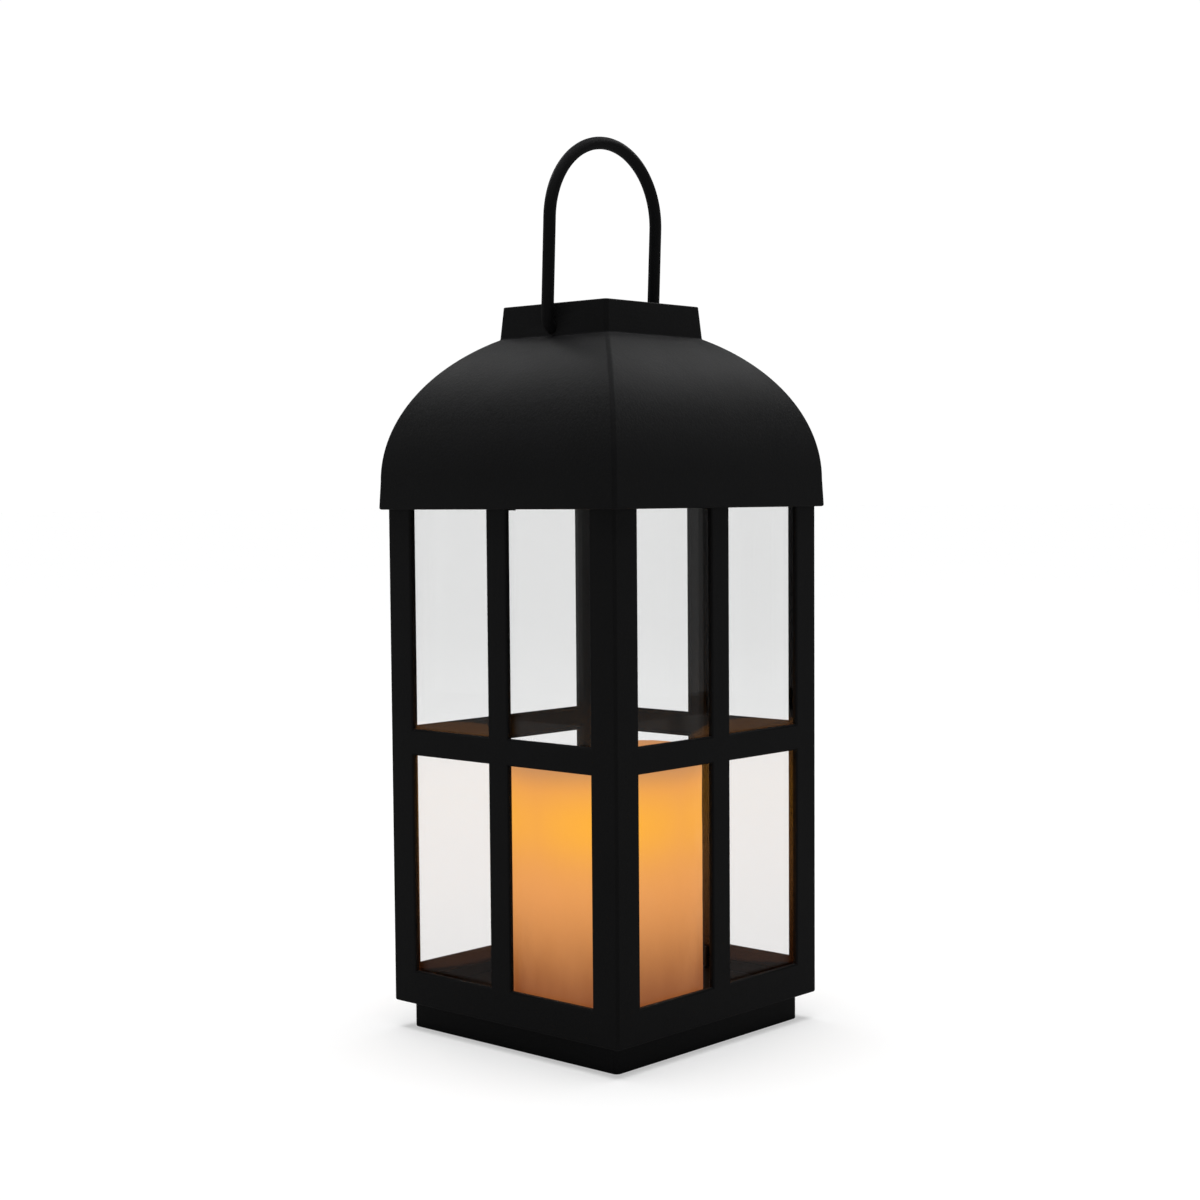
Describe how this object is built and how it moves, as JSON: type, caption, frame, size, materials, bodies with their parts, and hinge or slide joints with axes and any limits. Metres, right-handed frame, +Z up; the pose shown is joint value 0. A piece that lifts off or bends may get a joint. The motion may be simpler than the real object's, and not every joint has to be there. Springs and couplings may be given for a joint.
{
  "type": "solar lantern",
  "caption": "Square black metal lantern with windowed sides, a domed roof and a wire bail, lit by a solar-charged LED pillar candle.",
  "frame": {"origin": "middle of the plinth's resting face", "axes": "+Z up. The front-left side in the picture faces -Y and the front-right side faces +X; the bail's feet lie along Y."},
  "size_m": [0.1194, 0.1194, 0.3336],
  "materials": {
    "black_steel": "satin black powder coat with a fine texture",
    "glass": "clear, polished",
    "wax": "satin ivory wax, lit amber from inside",
    "black_plastic": "moulded, matte",
    "white_plastic": "moulded, satin",
    "solar_cell": "dark blue silicon",
    "clear_resin": "clear cast resin",
    "lead_jacket": "black PVC jacket",
    "board_green": "green solder mask",
    "cell_wrap": "plain shrink wrap",
    "plated_steel": "zinc plated",
    "rubber": "matte black",
    "lamp_amber": "clear lamp, lit amber"
  },
  "bodies": {
    "lantern": {"side_frame_front_left": "black_steel", "glass_front_left": "glass", "glass_clip_lower_front_left": "black_steel", "glass_clip_upper_front_left": "black_steel", "roof_panel_front_left": "black_steel", "side_frame_front_right": "black_steel", "glass_front_right": "glass", "glass_clip_lower_front_right": "black_steel", "glass_clip_upper_front_right": "black_steel", "roof_panel_front_right": "black_steel", "side_frame_back_right": "black_steel", "glass_back_right": "glass", "glass_clip_lower_back_right": "black_steel", "glass_clip_upper_back_right": "black_steel", "roof_panel_back_right": "black_steel", "side_frame_back_left": "black_steel", "glass_back_left": "glass", "glass_clip_lower_back_left": "black_steel", "glass_clip_upper_back_left": "black_steel", "roof_panel_back_left": "black_steel", "collar": "black_steel", "solar_tray": "black_plastic", "solar_panel": "solar_cell", "solar_cover": "clear_resin", "solar_lead": "lead_jacket", "lead_clip_upper": "black_plastic", "lead_clip_lower": "black_plastic", "lead_grommet": "rubber", "candle_shell": "wax", "candle_base": "white_plastic", "led_stem": "white_plastic", "led_board": "board_green", "led_lamp": "lamp_amber", "led_lead": "lead_jacket", "plinth": "black_steel", "floor_tray": "black_steel", "bottom_cover": "black_plastic", "bottom_screw_1": "plated_steel", "bottom_screw_2": "plated_steel", "bottom_screw_3": "plated_steel", "bottom_screw_4": "plated_steel", "battery_box": "black_plastic", "battery_cell": "cell_wrap", "battery_spring": "plated_steel", "battery_contact": "plated_steel", "battery_cover": "black_plastic", "battery_screw_1": "plated_steel", "battery_screw_2": "plated_steel", "circuit_board": "board_green", "switch_body": "black_plastic"},
    "handle": {"handle": "black_steel"},
    "switch": {"switch_slider": "white_plastic"}
  },
  "joints": [
    {"name": "handle_swing", "type": "hinge", "parent": "lantern", "child": "handle", "pos_m": [0, 0, 0.2623], "axis": [0, 1, 0], "range_deg": [-94.5, 89.5]},
    {"name": "switch_slide", "type": "slide", "parent": "lantern", "child": "switch", "axis": [1, 0, 0], "range_m": [0, 0.003]}
  ]
}
